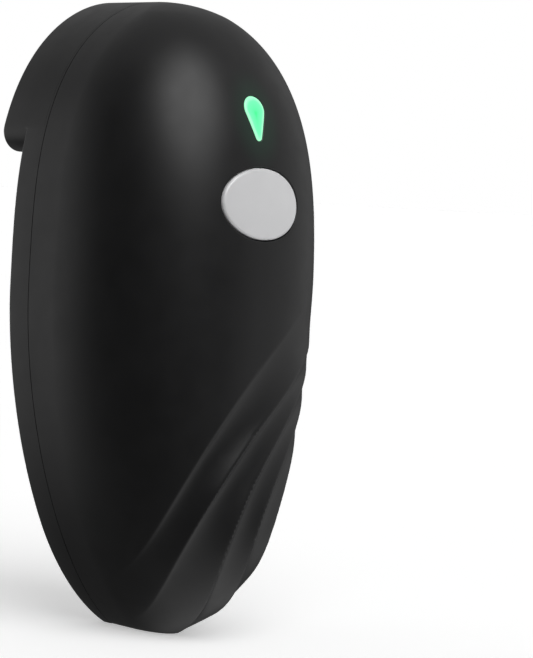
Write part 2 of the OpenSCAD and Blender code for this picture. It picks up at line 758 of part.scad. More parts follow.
// A gear and the pinion of the next pair on one hub, free to turn on its axle
module compound(i, p, y1) {
    next = i + 1;
    difference() {
        union() {
            spur(modules[i], gear_n[i], p, y1 - face_w[i], face_w[i], gear_turn(i));
            spur(modules[next], pinion_n, p, y1 - 0.5, face_w[next] + layer_gap + 0.7, pinion_turn(next));
            bar(p, hub_r, cover_y + play, base_top - play);
        }
        bar(p, axle_r + run, cover_y - 1, base_y + 1);
    }
}
module first_gear() { color(white_plastic) compound(0, first_xz, layer_1); }
module second_gear() { color(white_plastic) compound(1, second_xz, layer_2); }
module third_gear() { color(steel) compound(2, third_xz, layer_3); }
module output_gear() {
    color(steel) difference() {
        union() {
            spur(module_4, gear_n[3], drive_xz, layer_4 - face_w[3], face_w[3], gear_turn(3));
            bar(drive_xz, shaft_r + 1.6, layer_4 - face_w[3] - 4, layer_4);
        }
        bar(drive_xz, shaft_r, cover_y - 1, base_y + 1);
    }
}

// ================= cutting head =================

wheel_y = deck_y + 1.1;
wheel_t = 5;
wheel_teeth = 28;
tooth_depth = 0.7;
module drive_shaft() {
    color(steel) difference() {
        bar(drive_xz, shaft_r, motor_y, wheel_y + wheel_t - 1);
        bar(drive_xz, 1.05, wheel_y - 4, wheel_y + wheel_t);
    }
}
module retaining_ring() {
    color(dark) difference() {
        bar(drive_xz, shaft_r + 1.5, cover_y + 0.2, cover_y + 1);
        bar(drive_xz, shaft_r, cover_y - 1, cover_y + 2);
    }
}
module shaft_bushing() {
    color(brass) difference() {
        bar(drive_xz, bush_r, base_top, deck_y);
        bar(drive_xz, shaft_r + run, base_top - 1, deck_y + 1);
    }
}
// Serrated rim that grips under a can's rim
module drive_wheel() {
    color(steel) difference() {
        union() {
            slab(wheel_y + 1.4, wheel_y + wheel_t) translate(drive_xz)
                polygon([for (i = [0:2 * wheel_teeth - 1])
                    let(r = i % 2 ? drive_r : drive_r - tooth_depth, a = 180 * i / wheel_teeth)
                    [r * cos(a), r * sin(a)]]);
            bar(drive_xz, drive_r - 2.2, wheel_y, wheel_y + 2);
        }
        bar(drive_xz, shaft_r, wheel_y - 1, wheel_y + wheel_t - 1);
        bar(drive_xz, 1.6, wheel_y, wheel_y + wheel_t + 1);
    }
}
module wheel_screw() {
    color(steel) screw(drive_xz, wheel_y + wheel_t + 1.4, 5, r = 1, hr = 2.8, ht = 1.4);
}
module cutter_arm() {
    color(steel) difference() {
        slab(arm_y, arm_y + arm_t) hull() {
            translate(pivot_xz) circle(r = 5);
            translate(cutter_xz) circle(r = 4.5);
        }
        bar(pivot_xz, pivot_seat_r + run, arm_y - 1, arm_y + arm_t + 1);
        bar(cutter_xz, arm_pin_r, arm_y - 1, arm_y + arm_t + 1);
    }
}
module arm_pivot() {
    color(steel) difference() {
        union() {
            bar(pivot_xz, pivot_r, seam_y + 1, deck_y + 0.1);
            bar(pivot_xz, pivot_seat_r, deck_y, arm_y + arm_t + 0.3);
            bar(pivot_xz, pivot_head_r, arm_y + arm_t + 0.25, arm_y + arm_t + 3.4);
        }
        slab(arm_y + arm_t + 2.4, arm_y + arm_t + 4) translate(pivot_xz) circle(r = 1.5, $fn = 6);
    }
}
cutter_back = arm_y + arm_t + blade_gap;
module cutter_axle() {
    color(steel) {
        bar(cutter_xz, arm_pin_r, arm_y, cutter_back + hub_t + 0.5);
        bar(cutter_xz, 3.4, cutter_back + hub_t + 0.25, cutter_back + hub_t + 1.4);
    }
}
// A hub with a thin disc ground to an edge
module cutting_wheel() {
    color(steel) translate([cutter_xz[0], cutter_back, cutter_xz[1]]) rotate([-90, 0, 0])
        rotate_extrude($fn = 96)
        polygon([[arm_pin_r + run, 0], [3.6, 0], [3.6, 0.9], [cutter_r - 2.2, 0.9], [cutter_r, hub_t - 0.1],
            [cutter_r, hub_t], [arm_pin_r + run, hub_t]]);
}

// Torsion spring round the pivot's head, its legs against the pocket wall
spring_wire = 0.8;
spring_r = 5.2;
spring_turns = 2.5;
spring_pitch = spring_wire * 1.15;
spring_y = arm_y + arm_t + 0.8;
leg_l = 7;
function coil(s) = let(a = 360 * spring_turns * s)
    [pivot_xz[0] + spring_r * cos(a), spring_y + spring_pitch * a / 360, pivot_xz[1] + spring_r * sin(a)];
module arm_spring() {
    n = 40;
    sides = 8;
    w = spring_wire / 2;
    turn_pts = [for (i = [0:n]) coil(i / n)];
    path = concat([turn_pts[0] - [0, 0, leg_l / 2]], turn_pts, [turn_pts[n] + [0, 0, leg_l / 2]]);
    last = len(path) - 1;
    color(steel) polyhedron(
        points = [for (i = [0:last])
            let(t0 = path[min(last, i + 1)] - path[max(0, i - 1)], t = t0 / norm(t0),
                u = [0, 1, 0], v0 = cross(t, u), v = v0 / norm(v0), q = cross(v, t))
            for (k = [0:sides - 1]) path[i] + w * (cos(360 * k / sides) * v + sin(360 * k / sides) * q)],
        faces = concat([[for (k = [0:sides - 1]) k]],
            [for (i = [0:last - 1]) for (k = [0:sides - 1])
                let(a = i * sides + k, b = i * sides + (k + 1) % sides)
                each [[a, a + sides, b + sides], [a, b + sides, b]]],
            [[for (k = [sides - 1:-1:0]) last * sides + k]]));
}

front_shell();
rear_shell();
wear_plate();
lid_magnet();
case_screws();
plate_screws();
button_cap();
switch_plunger();
tact_switch();
led_lens();
led_chip();
control_board();
board_screws();
battery_cell();
battery_tray();
battery_contacts();
tray_screws();
charge_board();
charge_socket();
motor_can();
motor_end_cap();
motor_magnets();
motor_screws();
motor_shaft();
motor_armature();
motor_pinion();
gearbox_base();
gearbox_cover();
gearbox_screws();
gear_axles();
first_gear();
second_gear();
third_gear();
output_gear();
drive_shaft();
retaining_ring();
shaft_bushing();
drive_wheel();
wheel_screw();
cutter_arm();
arm_pivot();
arm_spring();
cutter_axle();
cutting_wheel();
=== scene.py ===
"""Cordless one-touch can opener, standing on the foot at its tail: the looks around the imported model."""

import json
import math

import bpy
import numpy as np
from mathutils import Matrix, Vector


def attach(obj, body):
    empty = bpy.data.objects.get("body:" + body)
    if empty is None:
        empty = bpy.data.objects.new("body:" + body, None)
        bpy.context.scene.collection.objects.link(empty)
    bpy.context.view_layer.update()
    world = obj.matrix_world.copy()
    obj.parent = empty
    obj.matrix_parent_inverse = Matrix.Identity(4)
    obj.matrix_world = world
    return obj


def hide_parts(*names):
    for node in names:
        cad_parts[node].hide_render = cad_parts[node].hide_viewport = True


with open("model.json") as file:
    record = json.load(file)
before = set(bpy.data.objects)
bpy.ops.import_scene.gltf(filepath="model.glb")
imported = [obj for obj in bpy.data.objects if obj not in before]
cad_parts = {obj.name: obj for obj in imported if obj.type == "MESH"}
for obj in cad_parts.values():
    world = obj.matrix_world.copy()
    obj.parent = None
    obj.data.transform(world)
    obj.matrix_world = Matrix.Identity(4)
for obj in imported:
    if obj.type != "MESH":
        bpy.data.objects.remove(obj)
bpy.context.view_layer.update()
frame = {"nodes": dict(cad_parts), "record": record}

MM = 0.001

# ---------------------------------------------------------------- sizes in millimetres, as the part has them
BODY_H = 183.6
BODY_W = 84.6
DOME_D = 53
DECK_D = 9.2
LIP_D = 11.2
LIP_LEN = 46
LIP_CORNER_R = 6
WALL = 2.4
DOME_WALL = 3.2
BAND_D = 11
HOLLOW_H = BODY_H - 2 * WALL

SEAM_Y = (DOME_D - DECK_D - LIP_D) / 2
DECK_Y = SEAM_Y + DECK_D
DECK_IN_Y = DECK_Y - WALL
LIP_Y = DECK_Y + LIP_D
LIP_Z = BODY_H - LIP_LEN

# the outline's blunt curves, and the powers of the dome's sections across and deep
PLAN_PEAK, PLAN_POWERS = 0.547, (3.17, 1.8, 1.81, 1.53)
DOME_PEAK, DOME_POWERS = 0.40, (3.4, 2.5, 4.6, 1.72)
ACROSS_POWER = 2.35
DEEP_POWER = 1.85
TAIL_CUT = 2.4
TAIL_H = 24
TAIL_FILL = 1.6
TAIL_RISE = 30
TAIL_LIFT = 0.8

# flutes between ridges: each ridge's turning place across, its height there, and its curvature
RIDGE_X = (-22, -16.1, -5.8, 3.4, 12.8, 23)
RIDGE_Z = (31.6, 26, 24, 24, 24, 24)
RIDGE_CURVE = (0.0095, 0.0127, 0.0118, 0.0120, 0.0125, 0.0130)
HOOK_Z = 12.6
HOOK_SLOPE = 3
FLUTE_MAX = 1.7
FLUTE_SHARE = 0.16
FLUTE_TOP = 116
FLUTE_FULL = 58
FLUTE_KEEP = 0.25
FLUTE_LEAN = 0.74

# button and lamp
BUTTON_W = 28.2
BUTTON_H = 20.2
BUTTON_Z = BODY_H - 57.2
BUTTON_GAP = 0.3
FLANGE_W = 1.2
FLANGE_T = 1.2
FLANGE_CLEAR = 0.7
STEM_R = 2.5
LAMP_W = 7.2
LAMP_TIP_R = 1.1
LAMP_Z = BODY_H - 30.6
LAMP_H = 12.5
LAMP_TIP_Z = LAMP_Z + LAMP_W / 2 - LAMP_H + LAMP_TIP_R
LAMP_FIT = 0.05
LENS_END = 2.4
BOARD_DEEP = 34.3
BOARD_T = 1.6
BOARD_FRONT = SEAM_Y - BOARD_DEEP - BOARD_T
SWITCH_T = 3.5
PLUNGER_UP = 1.4
STEM_END_Y = BOARD_FRONT - SWITCH_T - PLUNGER_UP

# cutting head
DRIVE_R = 7.5
CUTTER_R = 8
RIM_GAP = 6.8
HEAD_Z = BODY_H - 61
DRIVE_XZ = (0, HEAD_Z)
CUTTER_Z = HEAD_Z + DRIVE_R + RIM_GAP + CUTTER_R
PIVOT_XZ = (17, CUTTER_Z + 3.7)
PIVOT_R = 1.5
PIVOT_BOSS_R = 4.5
ARM_Y = DECK_Y + 0.8
ARM_T = 2
POCKET_X = (-12, 27)
POCKET_TOP = PIVOT_XZ[1] + 11
POCKET_BACK = 2
WINDOW_R = 13
BUSH_R = 5
PRESS = 0.02
SEAT_GAP = 0.1
PLATE_X = 21
WEAR_T = 0.8
WEAR_LOW = HEAD_Z - 15
WEAR_SCREWS = ((-16.5, HEAD_Z + 11), (17.5, HEAD_Z + 10), (0, WEAR_LOW + 4.5))

# posts, screws, magnet and socket
CASE_POSTS = ((-34.3, HEAD_Z - 25), (34.3, HEAD_Z - 25), (-20.5, 44), (20.5, 44))
CASE_POST_R = 3.4
CASE_HOLE_R = 1.3
CASE_HOLE_DEEP = 13
POST_Z = BUTTON_Z - BUTTON_H / 2 - 4.2
BOARD_POSTS = ((-10, POST_Z), (10, POST_Z), (8.5, LAMP_Z - 8.5))
BOARD_POST_R = 2.3
BOARD_HOLE_R = 1.0
BOARD_HOLE_DEEP = 6
SCREW_CLEAR_R = 1.6
SCREW_HEAD_R = 2.6
SCREW_HEAD_T = 1.6
SCREW_SUNK = 0.4
SCREW_SINK_R = SCREW_HEAD_R + 0.3
MAGNET_XZ = (0, HEAD_Z - 52)
MAGNET_R = 7
MAGNET_T = 3
MAGNET_WALL = 1.6
MAGNET_FIT = 0.05
SOCKET_Z = 60
SOCKET_Y = SEAM_Y + DECK_D / 2 - 0.6
SOCKET = (3.6, 9.3)
SOCKET_DEEP = 15
TRAY_EARS = ((-14.15, 51.5), (14.15, 51.5))
TRAY_Y = SEAM_Y - 3.95
TRAY_WALL = 1.6
EAR_BOSS_R = 3
EAR_HOLE_R = 1.05
EAR_HOLE_DEEP = 6
ROOT = 0.5

# finish of the edges that the part leaves sharp
FOOT_EDGE_R = 0.6
DECK_EDGE_R = 0.8
SPINE_Z = (20, 150)
LIP_EDGE_R = 1.0
SEAM_GROOVE = (0.5, 0.15)
RIDGE_SOFT = 0.16
BUTTON_PROUD = 0.25
BUTTON_EDGE_R = 0.8
RIM_R = 0.35
LAMP_PROUD = 0.12
LAMP_EDGE_R = 0.45

# points round the button's and the lamp's outline
OVAL_COUNT = 160
DROP_COUNT = 120


# ---------------------------------------------------------------- form of the casing
def smooth(x):
    """Rises from 0 to 1 with level ends: three times the square less twice the cube."""
    s = np.clip(x, 0, 1)
    return s * s * (3 - 2 * s)


def blunt(t, peak, powers):
    """Share of full size at height share t: one less a power of the way from the peak, then a root of it.
    The first two powers act above the peak and the last two below it."""
    above = 1 - np.clip((t - peak) / (1 - peak), 0, 1) ** powers[0]
    below = 1 - np.clip((peak - t) / peak, 0, 1) ** powers[2]
    return np.where(t >= peak, above ** (1 / powers[1]), below ** (1 / powers[3]))


def height_share(z, fill, height):
    """Height as a share of the whole. The curve's own tip lies below the foot, and the tail is filled out."""
    low = np.clip(1 - z / TAIL_H, 0, None) ** 2
    return np.minimum(1, (z + TAIL_CUT + fill * low) / (height + TAIL_CUT))


def half_width(z):
    """Half the body's width at height z."""
    return BODY_W / 2 * blunt(height_share(z, 0, BODY_H), PLAN_PEAK, PLAN_POWERS)


def dome_depth(z):
    """Depth of the dome in front of the seam at height z."""
    return DOME_D * blunt(height_share(z, TAIL_FILL, BODY_H), DOME_PEAK, DOME_POWERS)


def deck_depth(z):
    """Depth of the rear shell behind the seam: full on the deck, an ellipse's quarter towards the foot."""
    return DECK_D * np.sqrt(1 - TAIL_LIFT * np.clip(1 - z / TAIL_RISE, 0, 1) ** 2)


def arch_y(x, half, high):
    """Depth coordinate at x of a section of that half width and height: side band, then superellipse."""
    band = np.minimum(BAND_D, high / 2)
    c = np.clip(np.abs(x) / half, 0, 1) ** (ACROSS_POWER / 2)
    return SEAM_Y - band - (high - band) * np.sqrt(1 - c * c) ** (2 / DEEP_POWER)


def skin_y(x, z):
    """Depth coordinate of the unfluted dome over x, z."""
    return arch_y(x, half_width(z), dome_depth(z))


def hollow_half_width(z):
    """Half the width of the hollow inside, which has the body's form and is smaller by the walls."""
    return (BODY_W / 2 - WALL) * blunt(height_share(z - WALL, 0, HOLLOW_H), PLAN_PEAK, PLAN_POWERS)


def hollow_depth(z):
    """Depth of the hollow in front of the seam at height z."""
    return (DOME_D - DOME_WALL) * blunt(height_share(z - WALL, TAIL_FILL, HOLLOW_H), DOME_PEAK, DOME_POWERS)


def section_arc(half, high, count):
    """Points x, y round the front of sections of those half widths and heights, from left to right, and the
    share of the dome's rise that each has reached."""
    around = np.linspace(0, math.pi, count)[None, :]
    across, rise = -np.cos(around), np.sin(around) ** (2 / DEEP_POWER)
    band = np.minimum(BAND_D, high / 2)
    x = half * np.sign(across) * np.abs(across) ** (2 / ACROSS_POWER)
    return x, SEAM_Y - band - (high - band) * rise, rise


def ridge(k, z):
    """Where ridge k crosses height z: a parabola, and below the first a short straight hook to the side."""
    hook = HOOK_SLOPE * np.clip(HOOK_Z - z, 0, None) if k == 0 else 0
    return RIDGE_X[k] + RIDGE_CURVE[k] * (z - RIDGE_Z[k]) ** 2 - hook


def flute_depth(x, z):
    """Depth of the scallop at x, z: a parabola from ridge to ridge, leant so that it is deepest nearer its
    left ridge, as deep as its true width allows, and fading out upwards. Its edges are softened by a
    hyperbola, so a ridge is narrow but not sharp."""
    depth = np.zeros(np.broadcast(x, z).shape)
    for k in range(len(RIDGE_X) - 1):
        low, high = ridge(k, z), ridge(k + 1, z)
        lean = 2 * RIDGE_CURVE[k] * np.clip(z - RIDGE_Z[k], 0, None)
        full = np.minimum(FLUTE_MAX, FLUTE_SHARE * (high - low) / np.sqrt(1 + lean * lean))
        across = np.clip((x - low) / (high - low), 0, 1) ** FLUTE_LEAN
        scallop = full * 4 * across * (1 - across)
        depth = np.where((x > low) & (x <= high), scallop, depth)
    depth = depth * smooth((FLUTE_TOP - z) / (FLUTE_TOP - FLUTE_FULL))
    return np.sqrt(depth * depth + RIDGE_SOFT ** 2) - RIDGE_SOFT


# The button's flange lies just inside the dome
FLANGE_END_X = BUTTON_W / 2 + FLANGE_W
FLANGE_Y = float(arch_y(FLANGE_END_X, hollow_half_width(BUTTON_Z), hollow_depth(BUTTON_Z))) + FLANGE_CLEAR


# ---------------------------------------------------------------- mesh making
def make_piece(name, points, faces):
    """An object whose place is in its mesh. Points are in millimetres; its faces are turned outwards."""
    mesh = bpy.data.meshes.new(name)
    mesh.from_pydata((np.asarray(points) * MM).tolist(), [], faces)
    mesh.validate()
    piece = bpy.data.objects.new(name, mesh)
    bpy.context.scene.collection.objects.link(piece)
    if enclosed(mesh) < 0:
        mesh.flip_normals()
    return piece


def enclosed(mesh):
    """Volume inside a closed mesh, below nothing where its faces point inwards."""
    mesh.calc_loop_triangles()
    co = np.empty(len(mesh.vertices) * 3)
    mesh.vertices.foreach_get("co", co)
    tri = np.empty(len(mesh.loop_triangles) * 3, np.int32)
    mesh.loop_triangles.foreach_get("vertices", tri)
    a, b, c = co.reshape(-1, 3)[tri.reshape(-1, 3)].transpose(1, 0, 2)
    return float(np.einsum("ij,ij->i", a, np.cross(b, c)).sum() / 6)


def loft(name, rings, start="flat", end="flat"):
    """A closed skin over rings of equal count. Each end is one flat face, or a pole at the ring's middle."""
    rings = np.asarray(rings, float)
    n, m = rings.shape[:2]
    points = rings.reshape(-1, 3)
    j = np.arange(m)
    a = (np.arange(n - 1)[:, None] * m + j).ravel()
    b = (np.arange(n - 1)[:, None] * m + (j + 1) % m).ravel()
    faces = np.stack([a, a + m, b + m, b], 1).tolist()
    for kind, first, ring, turn in ((start, 0, rings[0], 1), (end, (n - 1) * m, rings[-1], -1)):
        if kind == "flat":
            faces.append((first + j)[::turn].tolist())
        else:
            pole = len(points)
            points = np.vstack([points, ring.mean(0)])
            edge = np.stack([first + j, first + (j + 1) % m, np.full(m, pole)], 1)
            faces += edge[:, ::turn].tolist()
    return make_piece(name, points, faces)


def slab(name, outline, y0, y1):
    """A flat outline in x, z filled from depth y0 to y1."""
    outline = np.asarray(outline, float)
    return loft(name, [ring_at(outline, y0), ring_at(outline, y1)])


def circle(centre, r, count=64):
    """Points of a circle in x, z."""
    a = 2 * math.pi * np.arange(count) / count
    return np.stack([centre[0] + r * np.cos(a), centre[1] + r * np.sin(a)], 1)


def rectangle(x0, x1, z0, z1):
    """Corners of a rectangle in x, z."""
    return np.array([(x0, z0), (x1, z0), (x1, z1), (x0, z1)], float)


def bar(centre, r, y0, y1, count=64):
    """A round tool along Y."""
    return slab("tool", circle(centre, r, count), y0, y1)


def ring_at(line, y):
    """A line in x, z put at depth y."""
    return np.stack([line[:, 0], np.full(len(line), y), line[:, 1]], 1)


def settle(piece):
    """Makes the modifiers' result the piece's own mesh."""
    bpy.context.view_layer.update()
    done = bpy.data.meshes.new_from_object(piece.evaluated_get(bpy.context.evaluated_depsgraph_get()))
    piece.modifiers.clear()
    old, piece.data = piece.data, done
    done.name = piece.name
    bpy.data.meshes.remove(old)


def combine(piece, tools, operation):
    """Joins the tools to the piece or takes them away from it, one after another."""
    for tool in tools:
        step = piece.modifiers.new(operation.lower(), "BOOLEAN")
        step.operation = operation
        step.solver = "MANIFOLD"
        step.object = tool
    settle(piece)
    for tool in tools:
        bpy.data.objects.remove(tool)


def weld(piece, distance=1e-6):
    """Merges points that lie together."""
    step = piece.modifiers.new("weld", "WELD")
    step.merge_threshold = distance
    settle(piece)


def shade(piece, angle=32):
    """Smooth shading that keeps edges sharper than the angle, in degrees."""
    piece.data.shade_smooth()
    piece.data.set_sharp_from_angle(angle=math.radians(angle))


def resample(points, count):
    """The same open line with its points evenly spaced along it."""
    points = np.asarray(points, float)
    run = np.concatenate([[0], np.cumsum(np.linalg.norm(np.diff(points, axis=0), axis=1))])
    at = np.linspace(0, run[-1], count)
    return np.stack([np.interp(at, run, points[:, i]) for i in range(points.shape[1])], 1)


# ---------------------------------------------------------------- front shell
def body_heights(fine, coarse):
    """Heights of the sections: even up to the flutes' top, then closer and closer to the crown."""
    low = np.linspace(0, FLUTE_TOP, fine)
    up = np.sin(np.linspace(0, math.pi / 2, coarse))
    return np.concatenate([low, FLUTE_TOP + (BODY_H - FLUTE_TOP) * up[1:-1]])


def front_skin():
    """Outside of the front shell. Each section is a straight side band, a superellipse over the dome and the
    other band. The foot's edge is a quarter round, and a step at the seam makes half of its groove."""
    z = body_heights(250, 84)[:, None]
    below = np.clip(FOOT_EDGE_R - z, 0, None)
    drawn_in = FOOT_EDGE_R - np.sqrt(FOOT_EDGE_R ** 2 - below ** 2)
    half, high = half_width(z) - drawn_in, dome_depth(z) - drawn_in
    x, y, rise = section_arc(half, high, 231)
    y = y + flute_depth(x, z) * smooth(rise / FLUTE_KEEP)

    band = np.minimum(BAND_D, high / 2)
    down = np.array([0, 0.8, 1, 2.2, 8])[None, :] * SEAM_GROOVE[1]
    down = np.concatenate([np.minimum(down, band * 0.4), band * np.array([0.45, 0.6, 0.75, 0.9])], 1)
    inset = np.array([1, 0.9, 0, 0, 0, 0, 0, 0, 0]) * SEAM_GROOVE[0]
    side_x = half - np.minimum(inset, half * 0.5)
    side_y = SEAM_Y - down
    x = np.concatenate([-side_x, x, side_x[:, ::-1]], 1)
    y = np.concatenate([side_y, y, side_y[:, ::-1]], 1)
    rings = np.stack([x, y, np.broadcast_to(z, x.shape)], 2)
    crown = np.broadcast_to([0, SEAM_Y, BODY_H], (1, x.shape[1], 3))
    skin = loft("front_casing", np.concatenate([rings, crown]))
    weld(skin)
    return skin


def front_hollow():
    """The space inside: the same sections, smaller by the walls, reaching back through the seam."""
    z = WALL + HOLLOW_H * (1 - np.cos(np.linspace(0, math.pi, 61)))[:, None] / 2
    least_half, least_high = 0.3, 0.6
    half = np.maximum(hollow_half_width(z), least_half)
    high = np.maximum(hollow_depth(z), least_high)
    x, y, _ = section_arc(half, high, 49)
    back = np.full_like(half, SEAM_Y + 1)
    x = np.concatenate([-half, x, half], 1)
    y = np.concatenate([back, y, back], 1)
    return loft("tool", np.stack([x, y, np.broadcast_to(z, x.shape)], 2))


def oval(count, w, h):
    """Outline of an ellipse in x, z and its outward normals."""
    a = 2 * math.pi * np.arange(count) / count
    normal = np.stack([np.cos(a) / w, np.sin(a) / h], 1)
    normal /= np.linalg.norm(normal, axis=1)[:, None]
    return np.stack([w / 2 * np.cos(a), BUTTON_Z + h / 2 * np.sin(a)], 1), normal


def drop(count):
    """Outline of the lamp: the hull of its round end and its tip, and its outward normals. Seen from a
    normal's direction the outline point is whichever circle reaches further."""
    a = 2 * math.pi * (np.arange(8 * count) + 0.5) / (8 * count)
    normal = np.stack([np.cos(a), np.sin(a)], 1)
    top = LAMP_W / 2 + LAMP_Z * normal[:, 1]
    tip = LAMP_TIP_R + LAMP_TIP_Z * normal[:, 1]
    on_top = (top > tip)[:, None]
    points = np.where(on_top, (0, LAMP_Z) + LAMP_W / 2 * normal, (0, LAMP_TIP_Z) + LAMP_TIP_R * normal)
    closed = np.concatenate([np.hstack([points, normal]), np.hstack([points, normal])[:1]])
    run = np.concatenate([[0], np.cumsum(np.linalg.norm(np.diff(closed[:, :2], axis=0), axis=1))])
    at = run[-1] * np.arange(count) / count
    even = np.stack([np.interp(at, run, closed[:, i]) for i in range(4)], 1)
    turned = even[:, 2:] / np.linalg.norm(even[:, 2:], axis=1)[:, None]
    return even[:, :2], turned


def over_skin(outline, normal, offset, rise):
    """Points offset outwards from an outline in x, z and raised from the skin there."""
    p = outline + offset * normal
    return np.stack([p[:, 0], skin_y(p[:, 0], p[:, 1]) - rise, p[:, 1]], 1)


def opening(outline, normal, gap, inner_y):
    """A tool along Y whose mouth opens in a quarter round where it meets the skin."""
    turn = np.linspace(0, math.pi / 2, 7)
    clear_of_skin = 3
    rings = [over_skin(outline, normal, gap + RIM_R, clear_of_skin)]
    for t in turn:
        rings.append(over_skin(outline, normal, gap + RIM_R * (1 - math.sin(t)), -RIM_R * (1 - math.cos(t))))
    rings.append(ring_at(outline + gap * normal, inner_y))
    return loft("tool", rings, start="pole")


def front_casing():
    """The front shell: skin less hollow, with posts for the screws and openings for button and lamp."""
    skin = front_skin()
    hollow = front_hollow()
    posts = [bar(p, CASE_POST_R, SEAM_Y - DOME_D, SEAM_Y) for p in CASE_POSTS]
    posts += [bar(p, BOARD_POST_R, SEAM_Y - DOME_D, BOARD_FRONT) for p in BOARD_POSTS]
    combine(hollow, posts, "DIFFERENCE")
    cuts = [hollow]
    cuts += [bar(p, CASE_HOLE_R, SEAM_Y - CASE_HOLE_DEEP, SEAM_Y + 1) for p in CASE_POSTS]
    cuts += [bar(p, BOARD_HOLE_R, BOARD_FRONT - BOARD_HOLE_DEEP, BOARD_FRONT + 1) for p in BOARD_POSTS]
    cuts.append(opening(*oval(OVAL_COUNT, BUTTON_W, BUTTON_H), BUTTON_GAP, FLANGE_Y))
    cuts.append(opening(*drop(DROP_COUNT), LAMP_FIT, BOARD_FRONT - 2))
    combine(skin, cuts, "DIFFERENCE")
    shade(skin)
    return skin


# ---------------------------------------------------------------- rear shell
def right_side(count, z0):
    """Right half of the outline, from height z0 up to the crown, with even spacing."""
    z = z0 + (BODY_H - z0) * np.sin(np.linspace(0, math.pi / 2, 3000))
    return resample(np.stack([half_width(z), z], 1), count)


def normals(line):
    """Outward normals in x, z along an open line that runs up the right side and ends on the crown."""
    along = np.gradient(line, axis=0)
    out = np.stack([along[:, 1], -along[:, 0]], 1)
    out[-1] = (0, 1)
    return out / np.linalg.norm(out, axis=1)[:, None]


def body_half(inset):
    """Right half of the outline drawn in by inset, from the middle of the foot round to the crown."""
    side = right_side(170, 0)
    up = side - inset * normals(side)
    up[:, 0] = np.maximum(up[:, 0], 0)
    up[:, 1] = np.maximum(up[:, 1], inset)
    up[0] = (side[0, 0] - inset, inset)
    foot = np.stack([np.linspace(0, up[0, 0], 9)[:-1], np.full(8, inset)], 1)
    return np.concatenate([foot, up])


def lip_half(inset):
    """Right half of the lip's outline drawn in by inset: straight edge, round corner and side."""
    r = LIP_CORNER_R
    side = right_side(900, LIP_Z)
    out = normals(side)
    centres = side - r * out
    first = int(np.argmax(centres[:, 1] >= LIP_Z + r))
    centre = np.array([centres[first, 0], LIP_Z + r])
    end = math.atan2(out[first, 1], out[first, 0])
    turn = np.linspace(-math.pi / 2, end, 18)
    corner = centre + (r - inset) * np.stack([np.cos(turn), np.sin(turn)], 1)
    up = side[first:] - inset * out[first:]
    up[:, 0] = np.maximum(up[:, 0], 0)
    up = resample(up, 110)[1:]
    edge = np.stack([np.linspace(0, centre[0], 25)[:-1], np.full(24, LIP_Z + inset)], 1)
    return np.concatenate([edge, corner, up])


def both_sides(half):
    """The whole outline from its right half: up the right side and down the left."""
    left = half[::-1][1:-1] * (-1, 1)
    return np.concatenate([half, left])


def edge_steps(r, count=8):
    """Inset and drop from the face of a quarter round of radius r, from the wall to the face."""
    turn = np.linspace(0, math.pi / 2, count)
    return zip(r * (1 - np.cos(turn)), r * (1 - np.sin(turn)))


def to_spine(ring, count, inset):
    """Rings that close in from one ring to the body's upright middle line, on the deck less the inset."""
    spine = np.stack([np.zeros(len(ring)), ring[:, 1], np.clip(ring[:, 2], *SPINE_Z)], 1)
    rings = []
    for u in np.linspace(0, 1, count):
        closer = ring + u * (spine - ring)
        closer[:, 1] = SEAM_Y + deck_depth(closer[:, 2]) - inset
        rings.append(closer)
    return rings


def rear_body():
    """Outside of the rear shell without its lip. Rings of the outline climb the wall, round its edge and
    cross the deck to a spine, while the deck falls away towards the foot. It is trimmed by a hair so that
    the lip's side isn't in the same face."""
    trim = 0.02
    groove, half_gap = SEAM_GROOVE
    walls = [(groove, 0), (groove * 0.9, half_gap * 0.8), (0, half_gap), (0, 1.0)]
    rings = []
    for inset, up in walls:
        rings.append(ring_at(both_sides(body_half(inset + trim)), SEAM_Y + up))
    for inset, down in edge_steps(DECK_EDGE_R):
        line = both_sides(body_half(inset + trim))
        rings.append(np.stack([line[:, 0], SEAM_Y + deck_depth(line[:, 1]) - down, line[:, 1]], 1))
    rings += to_spine(rings[-1], 9, 0)[1:]
    piece = loft("rear_casing", rings)
    weld(piece)
    return piece


def rear_lip():
    """The lip round the head: its outline carried back from inside the deck, with a rounded outer edge."""
    outline = both_sides(lip_half(0))
    rings = [ring_at(outline, SEAM_Y + 1), ring_at(outline, DECK_Y + 1)]
    rings += [ring_at(both_sides(lip_half(inset)), LIP_Y - down) for inset, down in edge_steps(LIP_EDGE_R)]
    return loft("tool", rings)


def rear_hollow():
    """The space inside the rear shell, which follows the deck's fall towards the foot."""
    line = both_sides(body_half(WALL))
    roof = np.stack([line[:, 0], SEAM_Y + deck_depth(line[:, 1]) - WALL, line[:, 1]], 1)
    hollow = loft("tool", [ring_at(line, SEAM_Y - 1)] + to_spine(roof, 7, WALL))
    weld(hollow)
    return hollow


def lip_hollow():
    """The space inside the lip, above the cutter pocket."""
    low = POCKET_TOP + WALL
    upper = lip_half(WALL)
    upper = upper[upper[:, 1] > low]
    upper = np.concatenate([[(0, low), (upper[0, 0], low)], upper])
    return slab("tool", both_sides(upper), DECK_IN_Y - 1, LIP_Y - WALL)


